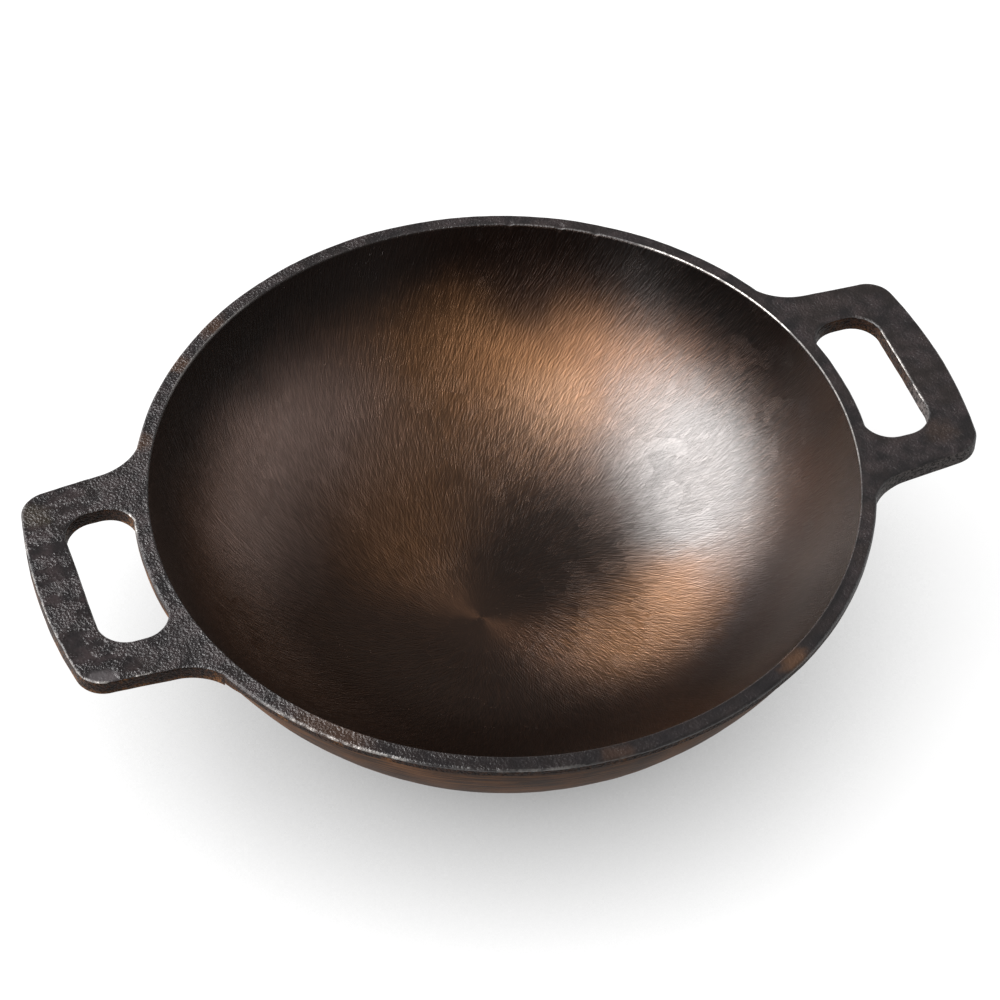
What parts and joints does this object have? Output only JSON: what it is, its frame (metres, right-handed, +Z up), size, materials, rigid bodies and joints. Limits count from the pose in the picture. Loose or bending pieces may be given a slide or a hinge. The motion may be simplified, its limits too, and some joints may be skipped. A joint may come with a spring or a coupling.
{
  "type": "kadai",
  "caption": "Deep round cast-iron cooking bowl with a flat lip, a small flat base and slotted side handles flush with the lip; ground smooth inside, rough-cast outside.",
  "frame": {"origin": "centre of the flat resting face, which is the lowest and middle point of the part", "axes": "+Z up out of the mouth, +X through the right-hand handle as pictured, +Y away from the camera's side"},
  "size_m": [0.328, 0.254, 0.084],
  "materials": {
    "bowl_iron": "seasoned, ground smooth inside with fine radial scratches, satin",
    "rim_iron": "seasoned, rough sand-cast grain, low gloss"
  },
  "bodies": {
    "root": {"bowl_base": "bowl_iron", "bowl_heel": "bowl_iron", "bowl_wall": "bowl_iron", "rim_lip": "rim_iron", "handle_left": "rim_iron", "handle_right": "rim_iron"}
  },
  "joints": []
}
